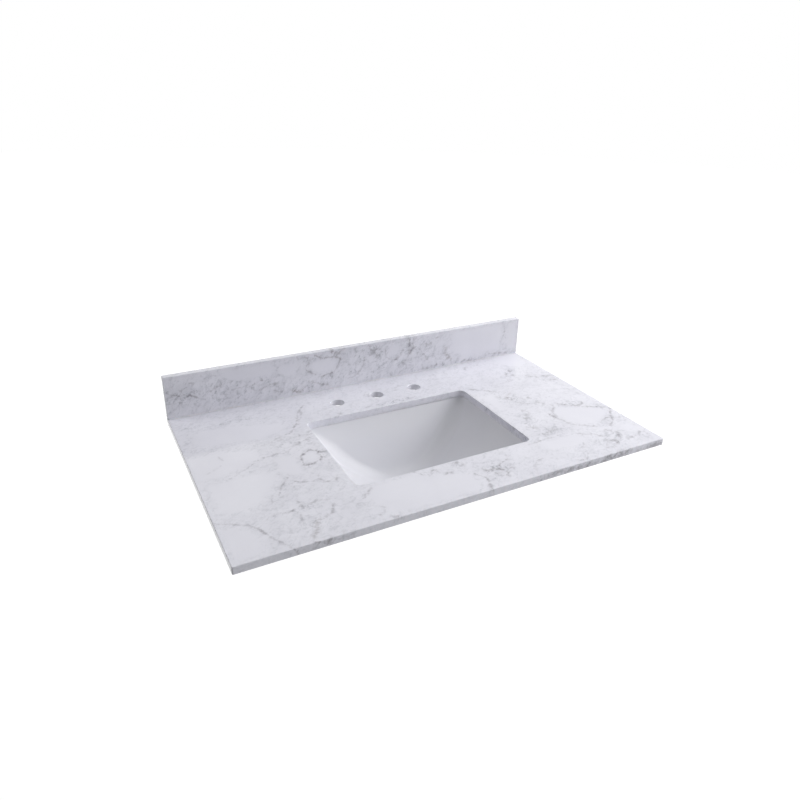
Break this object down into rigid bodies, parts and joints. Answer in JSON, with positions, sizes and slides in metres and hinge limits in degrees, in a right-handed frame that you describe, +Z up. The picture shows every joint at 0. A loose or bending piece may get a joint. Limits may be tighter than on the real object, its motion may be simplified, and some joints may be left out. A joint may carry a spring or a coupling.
{
  "type": "undermount vanity sink",
  "caption": "Stone vanity top with a backsplash, tap holes and a rectangular ceramic basin clipped under its cut-out, with a click-up waste stopper.",
  "frame": {"origin": "middle of the stone top's lower back edge, where the wall meets the top of the cabinet", "axes": "+X along the length, +Y towards the wall, so the front is at -Y, and +Z up; the basin hangs below z = 0"},
  "size_m": [0.9398, 0.5588, 0.3088],
  "materials": {
    "stone": "polished",
    "ceramic": "gloss",
    "sealant": "satin",
    "chrome": "polished",
    "brass": "satin",
    "zinc_steel": "satin",
    "spring_steel": "satin",
    "rubber": "matte",
    "nylon": "satin"
  },
  "bodies": {
    "sink": {"backsplash": "stone", "backsplash_sealant": "sealant", "basin": "ceramic", "basin_sealant": "sealant", "click_cartridge": "brass", "click_spring": "spring_steel", "clip_bracket_back_left": "zinc_steel", "clip_bracket_back_right": "zinc_steel", "clip_bracket_front_left": "zinc_steel", "clip_bracket_front_right": "zinc_steel", "clip_insert_back_left": "brass", "clip_insert_back_right": "brass", "clip_insert_front_left": "brass", "clip_insert_front_right": "brass", "clip_stud_back_left": "zinc_steel", "clip_stud_back_right": "zinc_steel", "clip_stud_front_left": "zinc_steel", "clip_stud_front_right": "zinc_steel", "clip_washer_back_left": "zinc_steel", "clip_washer_back_right": "zinc_steel", "clip_washer_front_left": "zinc_steel", "clip_washer_front_right": "zinc_steel", "clip_wing_nut_back_left": "zinc_steel", "clip_wing_nut_back_right": "zinc_steel", "clip_wing_nut_front_left": "zinc_steel", "clip_wing_nut_front_right": "zinc_steel", "stone_top": "stone", "waste_back_nut": "brass", "waste_body": "chrome", "waste_flange_gasket": "rubber", "waste_slip_washer": "nylon", "waste_taper_seal": "rubber"},
    "stopper": {"stopper_cap": "chrome", "stopper_seal": "rubber", "stopper_plunger": "zinc_steel"}
  },
  "joints": [
    {"name": "stopper_slide", "type": "slide", "parent": "sink", "child": "stopper", "axis": [0, 0, 1], "range_m": [0, 0.009], "deforming": ["click_spring"]}
  ]
}
